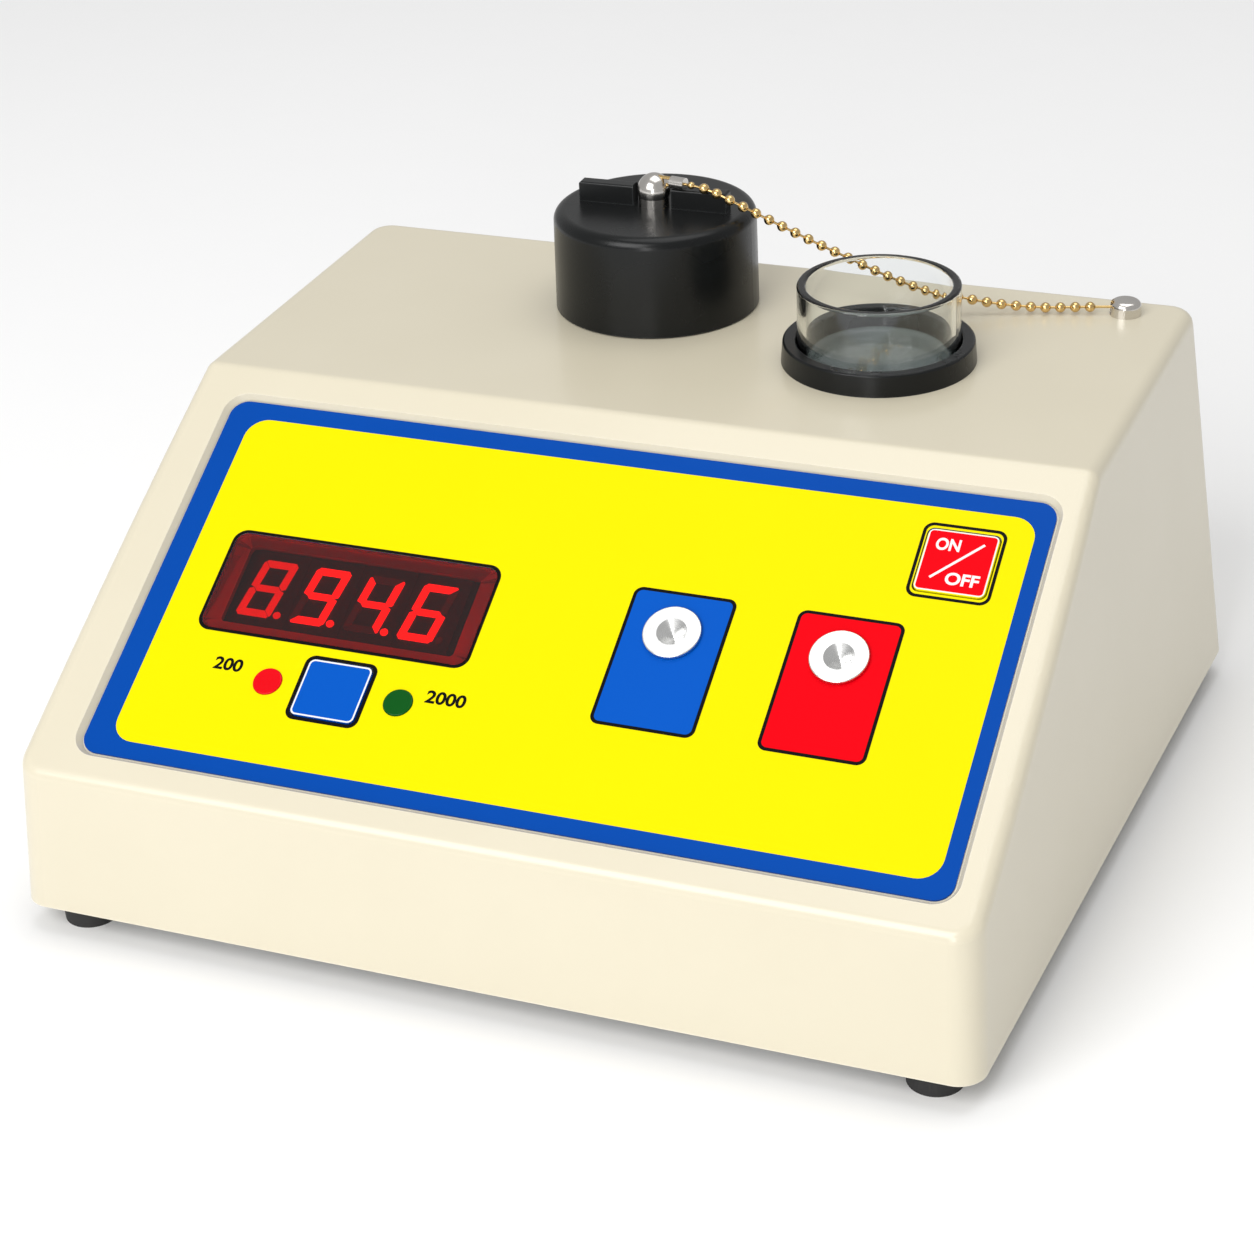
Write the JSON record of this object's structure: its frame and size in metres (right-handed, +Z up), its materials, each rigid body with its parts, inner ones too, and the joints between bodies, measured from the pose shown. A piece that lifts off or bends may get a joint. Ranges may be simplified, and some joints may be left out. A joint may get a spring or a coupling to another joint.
{
  "type": "turbidity meter",
  "caption": "Bench turbidity meter: cream sloped housing with a printed panel, red display, keys and adjusters, a glass sample tube in its well and a chained light cap.",
  "frame": {"origin": "on the table under the middle of the meter's length and width, fuse cap included", "axes": "+X to the right as the user faces the panel, +Y to the back, +Z up"},
  "size_m": [0.2294, 0.1986, 0.1235],
  "materials": {
    "housing_plastic": "cream, fine satin",
    "panel_film": "blue border, yellow field, red and blue patches",
    "red_filter": "dark red, clear",
    "black_plastic": "black",
    "lit_segment": "lit red",
    "key_plastic": "printed key",
    "lamp_plastic": "coloured lens",
    "knob_plastic": "coloured disc, as its patch",
    "steel": "zinc plated",
    "circuit_board": "green laminate",
    "plate_metal": "bare sheet",
    "foot_rubber": "black",
    "cap_plastic": "black, satin",
    "clear_glass": "clear",
    "nickel": "nickel plated",
    "chain_brass": "bright",
    "can_metal": "satin",
    "socket_plastic": "natural",
    "core_steel": "lacquered laminations",
    "winding_copper": "taped winding"
  },
  "bodies": {
    "base": {"housing": "housing_plastic", "panel_overlay": "panel_film", "display_window": "red_filter", "digit_modules": "black_plastic", "digit_segments": "lit_segment", "red_lamp": "lamp_plastic", "green_lamp": "lamp_plastic", "zero_pot": "black_plastic", "calibration_pot": "black_plastic", "key_switches": "black_plastic", "panel_lamps": "lamp_plastic", "panel_board": "circuit_board", "panel_board_screws": "steel", "base_plate": "plate_metal", "base_screws": "steel", "feet": "foot_rubber", "foot_screws": "steel", "foot_nuts": "steel", "well_collar": "cap_plastic", "chain_anchor": "nickel", "anchor_nut": "steel", "chamber_block": "black_plastic", "chamber_screws": "steel", "source_holder": "black_plastic", "source_lamp": "clear_glass", "source_lens": "clear_glass", "detector": "steel", "detector_board": "circuit_board", "detector_screws": "steel", "main_board": "circuit_board", "board_standoffs": "chain_brass", "board_screws": "steel", "control_chips": "black_plastic", "smoothing_capacitors": "can_metal", "board_sockets": "socket_plastic", "regulator": "black_plastic", "heat_sink": "can_metal", "transformer_core": "core_steel", "transformer_winding": "winding_copper", "transformer_strap": "steel", "transformer_screws": "steel", "mains_inlet": "black_plastic", "inlet_pins": "chain_brass", "inlet_screws": "steel", "fuse_holder": "black_plastic"},
    "range_key": {"range_key": "key_plastic"},
    "power_key": {"power_key": "key_plastic"},
    "zero_adjuster": {"zero_knob": "knob_plastic", "zero_shaft": "steel"},
    "calibration_adjuster": {"calibration_knob": "knob_plastic", "calibration_shaft": "steel"},
    "cap": {"light_cap": "cap_plastic", "cap_knob": "nickel", "cap_screw": "steel", "chain_ring": "chain_brass", "chain_ferrule": "nickel", "chain": "chain_brass"},
    "tube": {"sample_tube": "clear_glass"}
  },
  "joints": [
    {"name": "range_key_press", "type": "slide", "parent": "base", "child": "range_key", "axis": [0, 0.4935, -0.8698], "range_m": [0, 0.0005], "stiffness_N_per_m": 400, "springref_m": -0.0005},
    {"name": "power_key_press", "type": "slide", "parent": "base", "child": "power_key", "axis": [0, 0.4935, -0.8698], "range_m": [0, 0.0005], "stiffness_N_per_m": 400, "springref_m": -0.0005},
    {"name": "zero_turn", "type": "hinge", "parent": "base", "child": "zero_adjuster", "pos_m": [0.0259, -0.04798, 0.06658], "axis": [0, -0.4935, 0.8698], "range_deg": [-150, 150]},
    {"name": "calibration_turn", "type": "hinge", "parent": "base", "child": "calibration_adjuster", "pos_m": [0.0614, -0.0479, 0.06663], "axis": [0, -0.4935, 0.8698], "range_deg": [-150, 150]},
    {"name": "cap_lift", "type": "slide", "parent": "base", "child": "cap", "axis": [0, 0, 1], "range_m": [0, 0.0115]},
    {"name": "tube_lift", "type": "slide", "parent": "base", "child": "tube", "axis": [0, 0, 1], "range_m": [0, 0.075]}
  ]
}
